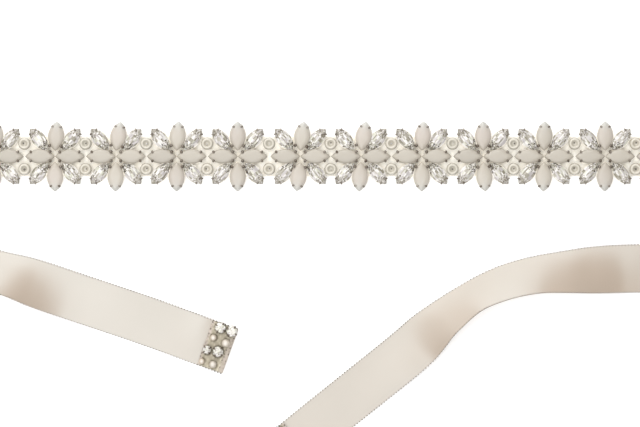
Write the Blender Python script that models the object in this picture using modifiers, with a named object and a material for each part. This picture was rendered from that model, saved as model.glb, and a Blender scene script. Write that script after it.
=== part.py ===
"""Bridal sash: a jewelled front sewn on a narrow tape, with a long satin ribbon tie at each end.

The sash lies as it is laid out on a table, and the table's top is z = 0. +X runs along the
jewelled front, +Y points to the far side of the table and +Z points up. The origin is the
middle of the front, on the underside of its tape.
"""
import math
from collections import namedtuple

import bmesh
import bpy
from mathutils import Matrix, Vector

MM = 0.001

# Clear space kept between two pieces that touch or are sewn together
SEAM_GAP = 0.3 * MM

# Cloth
CLOTH_WALL = 1.0 * MM
RIBBON_WIDTH = 25.0 * MM
RIBBON_SECTION_SPACING = 6.0 * MM
TAPE_WIDTH = 21.0 * MM

# Jewelled front: each flower has four opals along and across the front and four clear crystals
# on its diagonals, all pointed ovals held in metal settings that are soldered together
FLOWER_PITCH = 32.3 * MM
FLOWER_BASE = CLOTH_WALL + SEAM_GAP
SOLDER_STEP = 0.03 * MM
WELD_DISTANCE = 0.002 * MM
ALONG_OPAL_LENGTH = 16.0 * MM
ALONG_OPAL_WIDTH = 7.8 * MM
ALONG_OPAL_REACH = 7.9 * MM
ACROSS_OPAL_LENGTH = 16.0 * MM
ACROSS_OPAL_WIDTH = 9.0 * MM
ACROSS_OPAL_REACH = 10.7 * MM
CRYSTAL_LENGTH = 15.0 * MM
CRYSTAL_WIDTH = 7.8 * MM
CRYSTAL_REACH = (8.55 * MM, 9.0 * MM)
CRYSTAL_ANGLE = 50.0
STONE_SIDE_POINTS = 5

# Beads between the flowers, above and below the line of opals
PEARL_DIAMETER = 6.6 * MM
PEARL_HEIGHT = 4.4 * MM
PEARL_REACH = 6.75 * MM
PEARL_SEGMENTS = 8
PEARL_RINGS = 6

# Jewelled end of each tie
TIP_LENGTH = 14.2 * MM
TIP_WIDTH = 24.4 * MM
TIP_BINDING_THICKNESS = 1.0 * MM
TIP_STONE_BASE = CLOTH_WALL + TIP_BINDING_THICKNESS + 2 * SEAM_GAP
CHATON_SEGMENTS = 10
TIP_PEARL_FLATTENING = 0.8

# How each flower was sewn, from the left end: its shift along the front in mm, and the lean to
# the right of its upper and lower stones in degrees
Sewing = namedtuple("Sewing", "shift upper_lean lower_lean")
FLOWER_SEWING = (
    Sewing(0.1, 3, 1),
    Sewing(-0.1, 5, -2),
    Sewing(0.0, 4, 0),
    Sewing(-0.1, 9, -1),
    Sewing(-0.3, 4, 0),
    Sewing(-0.3, 0, 0),
    Sewing(0.5, 7, -7),
    Sewing(0.3, 10, -4),
    Sewing(0.1, 4, 0),
    Sewing(0.3, 0, 4),
    Sewing(0.1, 2, -1),
    Sewing(0.2, 0, -1),
    Sewing(0.1, 2, 0),
)

# Levels of a stone in its setting: height over its base in mm, and spread of its outline
Tier = namedtuple("Tier", "height spread")
OPAL_TIERS = (Tier(0.0, 1.0), Tier(2.5, 1.0), Tier(3.6, 0.62))
CRYSTAL_TIERS = (Tier(0.0, 1.0), Tier(2.2, 1.0), Tier(3.5, 0.5))
CHATON_TIERS = (Tier(0.0, 1.0), Tier(1.6, 1.0), Tier(2.7, 0.55))

# Course of each tie from the front to its tip. out is the distance from the middle of the
# front and down the distance to the near side, in mm. bank is the ribbon's tilt in degrees,
# with the edge on the outside of the turn lifted and the other edge on the table.
Course = namedtuple("Course", "out down bank")
LEFT_COURSE = (
    Course(194.1, 0.0, 0),
    Course(240.0, 0.0, 0),
    Course(285.0, 0.0, 16),
    Course(335.0, 0.0, 52),
    Course(378.0, 0.0, 82),
    Course(408.0, 0.6, 90),
    Course(430.0, 5.0, 90),
    Course(443.0, 15.0, 90),
    Course(447.0, 27.0, 90),
    Course(441.0, 39.0, 90),
    Course(427.0, 46.5, 90),
    Course(406.0, 49.0, 88),
    Course(370.0, 48.0, 70),
    Course(325.0, 45.5, 28),
    Course(285.0, 44.0, 3),
    Course(250.0, 43.5, 0),
    Course(220.0, 45.5, 5),
    Course(196.0, 50.0, 24),
    Course(176.0, 56.0, 34),
    Course(158.7, 61.2, 30),
    Course(139.7, 67.3, 9),
    Course(120.6, 73.8, 0),
    Course(82.4, 86.6, 0),
    Course(36.6, 103.3, 0),
)
RIGHT_COURSE = (
    Course(194.1, 0.0, 0),
    Course(240.0, 0.0, 0),
    Course(280.0, 0.0, 20),
    Course(318.0, 0.0, 58),
    Course(350.0, 0.0, 84),
    Course(374.0, 2.0, 90),
    Course(394.0, 9.0, 90),
    Course(406.0, 20.0, 90),
    Course(409.0, 33.0, 90),
    Course(403.0, 46.0, 90),
    Course(389.0, 55.0, 90),
    Course(369.0, 59.5, 88),
    Course(335.0, 61.0, 66),
    Course(294.0, 60.5, 24),
    Course(256.0, 60.0, 3),
    Course(215.0, 59.5, 0),
    Course(172.5, 59.4, 4),
    Course(156.6, 60.0, 15),
    Course(140.7, 61.0, 31),
    Course(124.8, 62.5, 41),
    Course(108.9, 66.3, 46),
    Course(93.0, 73.2, 50),
    Course(77.1, 85.2, 37),
    Course(61.2, 100.3, 7),
    Course(37.4, 119.8, 0),
    Course(13.5, 138.9, 0),
    Course(-11.7, 159.5, 0),
)

# Stones on a tip, in mm: distance in from the tie's end, distance across the ribbon towards
# its outer edge, and diameter
TipStone = namedtuple("TipStone", "inset across diameter")
TIP_CHATONS = (
    TipStone(9.2, -10.1, 5.9),
    TipStone(11.9, 3.3, 4.8),
    TipStone(2.9, -10.4, 6.1),
    TipStone(6.0, 2.2, 5.9),
)
TIP_PEARLS = (
    TipStone(10.9, -3.9, 3.8),
    TipStone(12.4, 9.9, 3.4),
    TipStone(3.8, -3.4, 4.8),
    TipStone(6.3, 9.4, 4.2),
)


def clear_scene():
    """Remove every object that a new scene starts with."""
    for thing in list(bpy.data.objects):
        bpy.data.objects.remove(thing, do_unlink=True)


def new_material(name, colour, roughness, metallic=0.0):
    """A plain Principled material."""
    material = bpy.data.materials.new(name)
    material.use_nodes = True
    shader = material.node_tree.nodes["Principled BSDF"]
    shader.inputs["Base Color"].default_value = (*colour, 1.0)
    shader.inputs["Roughness"].default_value = roughness
    shader.inputs["Metallic"].default_value = metallic
    return material


def new_piece(name, mesh, material, collection):
    """A named object for a finished mesh, which takes the material unless it has one."""
    if not mesh.materials:
        mesh.materials.append(material)
    piece = bpy.data.objects.new(name, mesh)
    collection.objects.link(piece)
    return piece


def mesh_from(form, name):
    """Turn a bmesh into a mesh with its faces pointing out."""
    bmesh.ops.recalc_face_normals(form, faces=form.faces)
    mesh = bpy.data.meshes.new(name)
    form.to_mesh(mesh)
    form.free()
    return mesh


def pointed_oval(length, width):
    """Outline of two equal arcs that meet in a point at each end of the X axis."""
    half_length = length / 2
    half_width = width / 2
    radius = (half_length ** 2 + half_width ** 2) / (2 * half_width)
    half_angle = math.asin(half_length / radius)
    outline = []
    for side in (1, -1):
        for step in range(STONE_SIDE_POINTS):
            angle = half_angle * (1 - 2 * step / STONE_SIDE_POINTS)
            x = side * radius * math.sin(angle)
            y = side * (radius * math.cos(angle) - radius + half_width)
            outline.append((x, y))
    return outline


def circle(diameter, segments):
    """Outline of a regular polygon with its corners on a circle."""
    turns = [2 * math.pi * step / segments for step in range(segments)]
    return [(diameter / 2 * math.cos(turn), diameter / 2 * math.sin(turn)) for turn in turns]


def tiered_mesh(name, outline, tiers):
    """A closed solid that carries one outline up through its tiers."""
    form = bmesh.new()
    base = form.faces.new([form.verts.new((x, y, 0)) for x, y in outline])
    top = base
    for below, tier in zip(tiers, tiers[1:]):
        raised = bmesh.ops.extrude_face_region(form, geom=[top])["geom"]
        if top is not base:
            form.faces.remove(top)
        top = next(item for item in raised if isinstance(item, bmesh.types.BMFace))
        bmesh.ops.translate(form, verts=top.verts, vec=(0, 0, (tier.height - below.height) * MM))
        shrink = tier.spread / below.spread
        bmesh.ops.scale(form, verts=top.verts, vec=(shrink, shrink, 1))
    return mesh_from(form, name)


def button_mesh(name, diameter, height):
    """A bead flattened in height, standing on z = 0."""
    form = bmesh.new()
    bmesh.ops.create_uvsphere(form, u_segments=PEARL_SEGMENTS, v_segments=PEARL_RINGS, radius=diameter / 2)
    bmesh.ops.scale(form, verts=form.verts, vec=(1, 1, height / diameter))
    bmesh.ops.translate(form, verts=form.verts, vec=(0, 0, height / 2))
    mesh = mesh_from(form, name)
    mesh.shade_smooth()
    return mesh


def slab_mesh(name, length, width, thickness):
    """A flat rectangular piece of cloth, standing on z = 0 and centred on the origin."""
    form = bmesh.new()
    bmesh.ops.create_cube(form, size=1.0)
    bmesh.ops.scale(form, verts=form.verts, vec=(length, width, thickness))
    bmesh.ops.translate(form, verts=form.verts, vec=(0, 0, thickness / 2))
    return mesh_from(form, name)


def flower_stones(sewing):
    """Mesh, place and turn of each stone of one flower, seen from its middle."""
    along = tiered_mesh("Opal along", pointed_oval(ALONG_OPAL_LENGTH, ALONG_OPAL_WIDTH), OPAL_TIERS)
    across = tiered_mesh("Opal across", pointed_oval(ACROSS_OPAL_LENGTH, ACROSS_OPAL_WIDTH), OPAL_TIERS)
    crystal = tiered_mesh("Crystal", pointed_oval(CRYSTAL_LENGTH, CRYSTAL_WIDTH), CRYSTAL_TIERS)
    stones = []
    for side in (1, -1):
        stones.append((along, (side * ALONG_OPAL_REACH, 0), 0.0))
        for level in (1, -1):
            place = (side * CRYSTAL_REACH[0], level * CRYSTAL_REACH[1])
            stones.append((crystal, place, side * level * CRYSTAL_ANGLE))
    for level, lean in ((1, sewing.upper_lean), (-1, sewing.lower_lean)):
        tilt = math.radians(lean)
        foot = ACROSS_OPAL_REACH - ACROSS_OPAL_LENGTH / 2
        x = ACROSS_OPAL_LENGTH / 2 * math.sin(tilt)
        y = level * (foot + ACROSS_OPAL_LENGTH / 2 * math.cos(tilt))
        stones.append((across, (x, y), 90.0 - level * lean))
    return stones


def solder(name, stones, centre, material, collection):
    """Join one flower's overlapping settings into a single closed body."""
    settings = []
    for index, (mesh, place, turn) in enumerate(stones):
        setting = new_piece(f"{name}_setting_{index}", mesh, material, collection)
        setting.location = (centre + place[0], place[1], FLOWER_BASE + index * SOLDER_STEP)
        setting.rotation_euler.z = math.radians(turn)
        settings.append(setting)
    first = settings[0]
    for setting in settings[1:]:
        joint = first.modifiers.new("Solder", "BOOLEAN")
        joint.operation = "UNION"
        joint.object = setting
    evaluated = first.evaluated_get(bpy.context.evaluated_depsgraph_get())
    form = bmesh.new()
    form.from_mesh(bpy.data.meshes.new_from_object(evaluated))
    bmesh.ops.remove_doubles(form, verts=form.verts, dist=WELD_DISTANCE)
    form.transform(first.matrix_world)
    body = mesh_from(form, name)
    for setting in settings:
        bpy.data.objects.remove(setting, do_unlink=True)
    return new_piece(name, body, material, collection)


def flower_centres():
    """Place of each flower's middle along the front."""
    middle = (len(FLOWER_SEWING) - 1) / 2
    return [(index - middle) * FLOWER_PITCH + row.shift * MM for index, row in enumerate(FLOWER_SEWING)]


def build_front(materials, collection):
    """The tape, its flowers and the beads between them."""
    tape_length = (len(FLOWER_SEWING) - 1) * FLOWER_PITCH
    tape = slab_mesh("Tape", tape_length, TAPE_WIDTH, CLOTH_WALL)
    new_piece("backing_tape", tape, materials["tape"], collection)
    centres = flower_centres()
    for index, (centre, sewing) in enumerate(zip(centres, FLOWER_SEWING), start=1):
        solder(f"flower_{index:02d}", flower_stones(sewing), centre, materials["stone"], collection)
    bead = button_mesh("Pearl", PEARL_DIAMETER, PEARL_HEIGHT)
    for index, (left, right) in enumerate(zip(centres, centres[1:]), start=1):
        for side, level in (("far", 1), ("near", -1)):
            pearl = new_piece(f"pearl_{index:02d}_{side}", bead, materials["pearl"], collection)
            pearl.location = ((left + right) / 2, level * PEARL_REACH, FLOWER_BASE)


def smooth_slopes(places, values, level_at_peaks):
    """Slopes of a smooth curve through the values, level at each end of a bank's rise or fall."""
    steps = [(after - before) for before, after in zip(places, places[1:])]
    climbs = [(after - before) / step for before, after, step in zip(values, values[1:], steps)]
    slopes = [climbs[0]]
    for index in range(1, len(climbs)):
        before, after = climbs[index - 1], climbs[index]
        if level_at_peaks:
            slope = 2 * before * after / (before + after) if before * after > 0 else 0.0
        else:
            share = steps[index] / (steps[index - 1] + steps[index])
            slope = share * before + (1 - share) * after
        slopes.append(slope)
    slopes.append(climbs[-1])
    return slopes


def value_on_curve(place, places, values, slopes):
    """Value of the cubic that leaves each row with its slope."""
    index = next(i for i in range(1, len(places)) if place <= places[i] or i == len(places) - 1)
    step = places[index] - places[index - 1]
    t = (place - places[index - 1]) / step
    start = (1 + 2 * t) * (1 - t) ** 2 * values[index - 1] + t * (1 - t) ** 2 * step * slopes[index - 1]
    end = t * t * (3 - 2 * t) * values[index] - t * t * (1 - t) * step * slopes[index]
    return start + end


def ribbon_sections(course, side):
    """Centre of each section of a tie, with the way to its outer edge and the tie's heading."""
    places = [0.0]
    for before, after in zip(course, course[1:]):
        places.append(places[-1] + math.hypot(after.out - before.out, after.down - before.down))
    columns = []
    for name in Course._fields:
        values = [getattr(row, name) for row in course]
        columns.append((values, smooth_slopes(places, values, level_at_peaks=name == "bank")))
    count = round(places[-1] * MM / RIBBON_SECTION_SPACING)
    stations = []
    for step in range(count + 1):
        place = places[-1] * step / count
        stations.append([value_on_curve(place, places, *column) for column in columns])
    sections = []
    for index, (out, down, bank) in enumerate(stations):
        before = stations[max(index - 1, 0)]
        after = stations[min(index + 1, count)]
        heading = Vector((side * (after[0] - before[0]), before[1] - after[1], 0)).normalized()
        tilt = math.radians(max(bank, 0.0))
        level = RIBBON_WIDTH / 2 * math.sin(tilt) + CLOTH_WALL / 2 * math.cos(tilt)
        outward = Vector((-heading.y, heading.x, 0)) * side * math.cos(tilt)
        outward.z = math.sin(tilt)
        sections.append((Vector((side * out * MM, -down * MM, level)), outward, heading))
    return sections


def build_tie(name, sections, material, collection):
    """A ribbon's middle surface through its sections, thickened to the cloth's wall."""
    form = bmesh.new()
    rows = []
    for centre, outward, _ in sections:
        reach = outward * RIBBON_WIDTH / 2
        rows.append([form.verts.new(centre + reach), form.verts.new(centre - reach)])
    for before, after in zip(rows, rows[1:]):
        form.faces.new((before[0], before[1], after[1], after[0]))
    tie = new_piece(name, mesh_from(form, name), material, collection)
    wall = tie.modifiers.new("Wall", "SOLIDIFY")
    wall.thickness = CLOTH_WALL
    wall.offset = 0.0
    wall.use_even_offset = True
    return tie


def build_tip(label, end_section, materials, collection):
    """The jewelled end of a tie: a cloth binding on the ribbon, with round stones and beads."""
    end, outward, heading = end_section
    turned = Matrix.Rotation(math.atan2(heading.y, heading.x), 4, "Z")
    on_table = Matrix.Translation((end.x, end.y, 0)) @ turned
    outer_side = math.copysign(1, heading.cross(outward).z)

    def place_on_tip(piece, inset, across, base):
        piece.matrix_world = on_table @ Matrix.Translation((-inset, outer_side * across, base))

    slab = slab_mesh("Binding", TIP_LENGTH, TIP_WIDTH, TIP_BINDING_THICKNESS)
    binding = new_piece(f"tip_{label}_binding", slab, materials["tape"], collection)
    place_on_tip(binding, TIP_LENGTH / 2, 0.0, CLOTH_WALL + SEAM_GAP)
    for index, row in enumerate(TIP_CHATONS, start=1):
        mesh = tiered_mesh("Chaton", circle(row.diameter * MM, CHATON_SEGMENTS), CHATON_TIERS)
        chaton = new_piece(f"tip_{label}_chaton_{index}", mesh, materials["chaton"], collection)
        place_on_tip(chaton, row.inset * MM, row.across * MM, TIP_STONE_BASE)
    for index, row in enumerate(TIP_PEARLS, start=1):
        mesh = button_mesh("Tip pearl", row.diameter * MM, row.diameter * TIP_PEARL_FLATTENING * MM)
        pearl = new_piece(f"tip_{label}_pearl_{index}", mesh, materials["pearl"], collection)
        place_on_tip(pearl, row.inset * MM, row.across * MM, TIP_STONE_BASE)


def main():
    """Build the whole sash in its own collection."""
    clear_scene()
    collection = bpy.data.collections.new("Bridal sash")
    bpy.context.scene.collection.children.link(collection)
    materials = {
        "tape": new_material("Ivory tape", (0.90, 0.84, 0.74), 0.85),
        "satin": new_material("Champagne satin", (0.80, 0.73, 0.65), 0.38),
        "stone": new_material("Opal and crystal in silver", (0.70, 0.65, 0.61), 0.25),
        "pearl": new_material("Pearl", (0.84, 0.80, 0.73), 0.22),
        "chaton": new_material("Round crystal in silver", (0.86, 0.87, 0.86), 0.12, 0.3),
    }
    build_front(materials, collection)
    for label, course, side in (("left", LEFT_COURSE, -1), ("right", RIGHT_COURSE, 1)):
        sections = ribbon_sections(course, side)
        build_tie(f"ribbon_tie_{label}", sections, materials["satin"], collection)
        build_tip(label, sections[-1], materials, collection)


main()
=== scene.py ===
"""Looks of the bridal sash: stones in claw settings, pearl buttons, tape and satin ribbon.

Sizes and places here are in millimetres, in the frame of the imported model. Forms are built in
millimetres and become meshes in metres.
"""
import math
import random
from collections import namedtuple

import bpy
from mathutils import Matrix, Vector


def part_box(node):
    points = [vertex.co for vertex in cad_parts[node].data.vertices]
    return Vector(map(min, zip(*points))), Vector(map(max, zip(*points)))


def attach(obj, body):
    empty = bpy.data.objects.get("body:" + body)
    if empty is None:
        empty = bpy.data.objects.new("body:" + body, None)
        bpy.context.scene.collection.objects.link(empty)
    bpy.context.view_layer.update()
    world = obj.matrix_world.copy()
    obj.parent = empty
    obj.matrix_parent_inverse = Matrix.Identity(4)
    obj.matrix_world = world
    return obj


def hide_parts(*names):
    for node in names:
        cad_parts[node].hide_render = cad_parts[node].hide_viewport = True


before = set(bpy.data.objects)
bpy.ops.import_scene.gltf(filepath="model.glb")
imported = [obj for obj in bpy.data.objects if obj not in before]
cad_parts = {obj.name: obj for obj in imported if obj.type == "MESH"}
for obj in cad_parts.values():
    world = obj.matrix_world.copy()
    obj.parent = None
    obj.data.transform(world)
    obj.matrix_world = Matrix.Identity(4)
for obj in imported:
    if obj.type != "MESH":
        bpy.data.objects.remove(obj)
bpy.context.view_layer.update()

MM = 0.001
SEED = 20

# Photograph: its frame is 640 pixels wide and shows 339.2 mm of the table
PHOTO_WIDTH = 339.2
CAMERA_PLACE = (10.9, -30.2)
CAMERA_HEIGHT = 1600.0
SENSOR_WIDTH = 36.0

# Light, in metres, degrees and watts: a long softbox over the table, a little to the left, and a
# lower one past the front's far side
DOME_STRENGTH = 0.5
Softbox = namedtuple("Softbox", "name place turn size power")
SOFTBOXES = (
    Softbox("overhead_softbox", (-0.50, 0.4, 2.0), (0.0, 0.0, 0.0), (1.8, 6.5), 92.0),
    Softbox("far_softbox", (-0.9, 2.6, 0.9), (78.0, 0.0, 180.0), (3.4, 1.5), 42.0),
)
FLOOR_SIZE = 8.0
FLOOR_DROP = 0.0002
FLOOR_GLOW = 0.22

# Cloth
RIBBON_WIDTH = 25.0
CAD_WALL = 1.0
SATIN_THICKNESS = 0.5
SATIN_DROP = 0.2
CLOTH_SHARP_ANGLE = 40
SECTION_SPACING = 1.6
RIBBON_COLUMNS = 12
LOOP_PITCH = 1.65
LOOP_LENGTH = 0.75
LOOP_RADIUS = 0.45
LOOP_PLACE = 1.01
LOOP_LIFT = 0.32
LOOP_SLANT = 18
LOOP_SIDES = 5
LOOP_PROFILE = ((-0.5, 0.15), (-0.25, 0.85), (0.25, 0.85), (0.5, 0.15))
# The dark loop colour is dark thread on the binding's stitches, and on the selvedge loops partly painted
# shade of the gaps between them
LOOP_DARK_THREAD_AND_SHADE = (0.10, 0.08, 0.06)
LOOP_PALE = (0.36, 0.31, 0.25)

# Stones
FLOWER_BASE = 1.3
SOLDER_STEP = 0.03
Cut = namedtuple("Cut", "length width")
ALONG_OPAL = Cut(16.0, 7.8)
ACROSS_OPAL = Cut(16.0, 9.0)
CRYSTAL = Cut(15.0, 7.8)
ALONG_REACH = 7.9
ACROSS_FOOT = 2.7
CRYSTAL_REACH = (8.55, 9.0)
CRYSTAL_ANGLE = 50.0

# How far the upper and lower stones of each flower lean to the right, in degrees
Lean = namedtuple("Lean", "upper lower")
FLOWER_LEANS = (
    Lean(3, 1),
    Lean(5, -2),
    Lean(4, 0),
    Lean(9, -1),
    Lean(4, 0),
    Lean(0, 0),
    Lean(7, -7),
    Lean(10, -4),
    Lean(4, 0),
    Lean(0, 4),
    Lean(2, -1),
    Lean(0, -1),
    Lean(2, 0),
)

# Course of each tie from the front to its tip. out is the distance from the middle of the
# front and down the distance to the near side. bank is the ribbon's tilt in degrees, with the
# edge on the outside of the turn lifted.
Course = namedtuple("Course", "out down bank")
LEFT_COURSE = (
    Course(194.1, 0.0, 0),
    Course(240.0, 0.0, 0),
    Course(285.0, 0.0, 16),
    Course(335.0, 0.0, 52),
    Course(378.0, 0.0, 82),
    Course(408.0, 0.6, 90),
    Course(430.0, 5.0, 90),
    Course(443.0, 15.0, 90),
    Course(447.0, 27.0, 90),
    Course(441.0, 39.0, 90),
    Course(427.0, 46.5, 90),
    Course(406.0, 49.0, 88),
    Course(370.0, 48.0, 70),
    Course(325.0, 45.5, 28),
    Course(285.0, 44.0, 3),
    Course(250.0, 43.5, 0),
    Course(220.0, 45.5, 5),
    Course(196.0, 50.0, 24),
    Course(176.0, 56.0, 34),
    Course(158.7, 61.2, 30),
    Course(139.7, 67.3, 9),
    Course(120.6, 73.8, 0),
    Course(82.4, 86.6, 0),
    Course(36.6, 103.3, 0),
)
RIGHT_COURSE = (
    Course(194.1, 0.0, 0),
    Course(240.0, 0.0, 0),
    Course(280.0, 0.0, 20),
    Course(318.0, 0.0, 58),
    Course(350.0, 0.0, 84),
    Course(374.0, 2.0, 90),
    Course(394.0, 9.0, 90),
    Course(406.0, 20.0, 90),
    Course(409.0, 33.0, 90),
    Course(403.0, 46.0, 90),
    Course(389.0, 55.0, 90),
    Course(369.0, 59.5, 88),
    Course(335.0, 61.0, 66),
    Course(294.0, 60.5, 24),
    Course(256.0, 60.0, 3),
    Course(215.0, 59.5, 0),
    Course(172.5, 59.4, 4),
    Course(156.6, 60.0, 15),
    Course(140.7, 61.0, 31),
    Course(124.8, 62.5, 41),
    Course(108.9, 66.3, 46),
    Course(93.0, 73.2, 50),
    Course(77.1, 85.2, 37),
    Course(61.2, 100.3, 7),
    Course(37.4, 119.8, 0),
    Course(13.5, 138.9, 0),
    Course(-11.7, 159.5, 0),
)

# Soft ridges and troughs in the ties: distance from the tip end, place across from -1 at the
# inner edge to 1 at the outer edge, half length in mm, half width on the same scale as the place
# across, and height in mm. A leaning one rises square to the tilted cloth, the others straight up.
Crease = namedtuple("Crease", "from_tip across half_length half_width height leaning", defaults=(False,))
LEFT_CREASES = (
    Crease(116.0, 1.0, 11.0, 1.3, 2.8, leaning=True),
    Crease(99.0, 0.9, 13.0, 1.1, 1.1),
    Crease(66.0, -0.4, 17.0, 1.2, 0.3),
    Crease(30.0, 0.5, 12.0, 0.8, 0.25),
    Crease(19.0, -0.8, 6.0, 0.8, 0.8),
    Crease(330.0, 0.4, 26.0, 0.8, 0.25),
    Crease(620.0, -0.5, 22.0, 0.7, 0.3),
)
RIGHT_CREASES = (
    Crease(230.0, -0.7, 18.0, 0.9, 0.7),
    Crease(158.0, -0.1, 32.0, 1.6, 3.9),
    Crease(178.0, 1.0, 40.0, 1.1, 1.5),
    Crease(101.0, 1.0, 22.0, 1.1, 2.4, leaning=True),
    Crease(66.0, 0.9, 26.0, 1.2, 1.3),
    Crease(38.0, -0.4, 14.0, 0.9, 0.25),
    Crease(300.0, 0.3, 24.0, 0.8, 0.25),
    Crease(610.0, 0.5, 20.0, 0.7, 0.3),
)

draw = random.Random(SEED)


class Form:
    """Points in mm, faces and tints, gathered into one joined mesh.

    A tint is the linear colour of each face, or of each point where the domain is POINT; on the cut stones,
    pearls, cups, claws, selvedge loops and binding it also carries painted light and shade.
    """

    def __init__(self, domain="FACE"):
        self.domain = domain
        self.points = []
        self.faces = []
        self.tints = []
        self.places = []

    def add(self, points, faces, matrix=None, tints=None, places=None):
        """Add a solid, moved by the matrix. places are a pair of numbers for each point."""
        first = len(self.points)
        for point in points:
            vector = Vector(point)
            self.points.append(matrix @ vector if matrix else vector)
        for face in faces:
            self.faces.append([first + corner for corner in face])
        count = len(faces) if self.domain == "FACE" else len(points)
        self.tints.extend(tints or [(1.0, 1.0, 1.0)] * count)
        self.places.extend(places or [(0.0, 0.0)] * len(points))

    def piece(self, name, material, sharp_angle=None):
        """Make the object, with its tints and its places as a UV map.

        Edges sharper than sharp_angle, in degrees, stay crisp. At 0 every face is flat.
        """
        mesh = bpy.data.meshes.new(name)
        mesh.from_pydata([point * MM for point in self.points], [], self.faces)
        tint = mesh.attributes.new("tint", "FLOAT_COLOR", self.domain)
        tint.data.foreach_set("color", [part for colour in self.tints for part in (*colour, 1.0)])
        layer = mesh.uv_layers.new(name="places")
        for loop in mesh.loops:
            layer.data[loop.index].uv = self.places[loop.vertex_index]
        mesh.materials.append(material)
        if sharp_angle is None or sharp_angle > 0:
            mesh.shade_smooth()
        if sharp_angle:
            mesh.set_sharp_from_angle(angle=math.radians(sharp_angle))
        thing = bpy.data.objects.new(name, mesh)
        bpy.context.scene.collection.objects.link(thing)
        return thing


def thicken(piece, thickness, offset=0.0):
    """Give a cloth its thickness in mm, with crisp edges."""
    wall = piece.modifiers.new("Wall", "SOLIDIFY")
    wall.thickness = thickness * MM
    wall.offset = offset
    seen = piece.evaluated_get(bpy.context.evaluated_depsgraph_get())
    solid = bpy.data.meshes.new_from_object(seen)
    piece.modifiers.clear()
    thin = piece.data
    piece.data = solid
    bpy.data.meshes.remove(thin)
    solid.set_sharp_from_angle(angle=math.radians(CLOTH_SHARP_ANGLE))


def mixed(first, second, share):
    """Colour between two, from the first at 0 to the second at 1."""
    share = min(max(share, 0.0), 1.0)
    return tuple(a + (b - a) * share for a, b in zip(first, second))


def loft(rings):
    """Points and faces of a solid through rings of equal size, with its ends closed."""
    count = len(rings[0])
    points = [point for ring in rings for point in ring]
    faces = []
    for level in range(len(rings) - 1):
        low = level * count
        high = low + count
        for step in range(count):
            after = (step + 1) % count
            faces.append((low + step, low + after, high + after, high + step))
    last = (len(rings) - 1) * count
    faces.append(tuple(reversed(range(count))))
    faces.append(tuple(range(last, last + count)))
    return points, faces


def grid_solid(grid, base, whole=()):
    """Solid under a grid of points, down to a flat base.

    The cells of the grid's strips named in whole stay quads, and the others are split in two.
    """
    rows = len(grid)
    columns = len(grid[0])
    points = [point for row in grid for point in row]
    faces = []
    for row in range(rows - 1):
        for column in range(columns - 1):
            a = row * columns + column
            b, c, d = a + columns, a + columns + 1, a + 1
            if row in whole:
                faces.append((a, b, c, d))
            elif (row + column) % 2:
                faces += [(a, b, c), (a, c, d)]
            else:
                faces += [(a, b, d), (b, c, d)]
    rim = list(range(columns))
    rim += [row * columns + columns - 1 for row in range(1, rows)]
    rim += [(rows - 1) * columns + column for column in reversed(range(columns - 1))]
    rim += [row * columns for row in reversed(range(1, rows - 1))]
    first = len(points)
    points += [(points[corner][0], points[corner][1], base) for corner in rim]
    for step, corner in enumerate(rim):
        after = (step + 1) % len(rim)
        faces.append((corner, rim[after], first + after, first + step))
    faces.append(tuple(range(first, first + len(rim))))
    return points, faces


def pointed_oval(cut, steps):
    """Outline of two equal arcs that meet in a point at each end of the X axis."""
    half_length = cut.length / 2
    half_width = cut.width / 2
    radius = (half_length ** 2 + half_width ** 2) / (2 * half_width)
    half_angle = math.asin(half_length / radius)
    outline = []
    for side in (1, -1):
        for step in range(steps):
            angle = half_angle * (1 - 2 * step / steps)
            x = side * radius * math.sin(angle)
            y = side * (radius * math.cos(angle) - radius + half_width)
            outline.append((x, y))
    return outline


def circle(diameter, steps):
    """Outline of a circle."""
    turns = [2 * math.pi * step / steps for step in range(steps)]
    return [(diameter / 2 * math.cos(turn), diameter / 2 * math.sin(turn)) for turn in turns]


def level_ring(outline, spread, height):
    """The outline spread about its middle, at a height."""
    return [(x * spread, y * spread, height) for x, y in outline]


def inset_ring(outline, inset, height):
    """The outline drawn in by a distance in mm on each side, at a height."""
    half_length = max(x for x, _ in outline)
    half_width = max(y for _, y in outline)
    shrink_x = 1 - inset / half_length
    shrink_y = 1 - inset / half_width
    return [(x * shrink_x, y * shrink_y, height) for x, y in outline]


def node_tree(name):
    """A new material with its nodes, its links and its Principled shader."""
    material = bpy.data.materials.new(name)
    material.use_nodes = True
    tree = material.node_tree
    return material, tree.nodes, tree.links, tree.nodes["Principled BSDF"]


def set_sockets(shader, **values):
    """Set the shader's own sockets, named with underscores for spaces."""
    for name, value in values.items():
        shader.inputs[name.replace("_", " ")].default_value = value


def add_bump(nodes, links, shader, height, distance_mm, strength):
    """Drive the shader's normal from a height."""
    bump = nodes.new("ShaderNodeBump")
    bump.inputs["Distance"].default_value = distance_mm * MM
    bump.inputs["Strength"].default_value = strength
    links.new(height, bump.inputs["Height"])
    links.new(bump.outputs["Normal"], shader.inputs["Normal"])


def add_noise(nodes, scale, detail=3.0, links=None, vector=None):
    """A noise texture, on the object's own space unless a vector is given."""
    noise = nodes.new("ShaderNodeTexNoise")
    noise.inputs["Scale"].default_value = scale
    noise.inputs["Detail"].default_value = detail
    if vector is not None:
        links.new(vector, noise.inputs["Vector"])
    return noise


def add_ramp(nodes, links, source, stops):
    """A colour ramp on a value, with (place, colour) stops."""
    ramp = nodes.new("ShaderNodeValToRGB")
    links.new(source, ramp.inputs["Fac"])
    elements = ramp.color_ramp.elements
    while len(elements) < len(stops):
        elements.new(0.5)
    for element, (place, colour) in zip(elements, stops):
        element.position = place
        element.color = (*colour, 1.0)
    return ramp.outputs["Color"]


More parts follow.
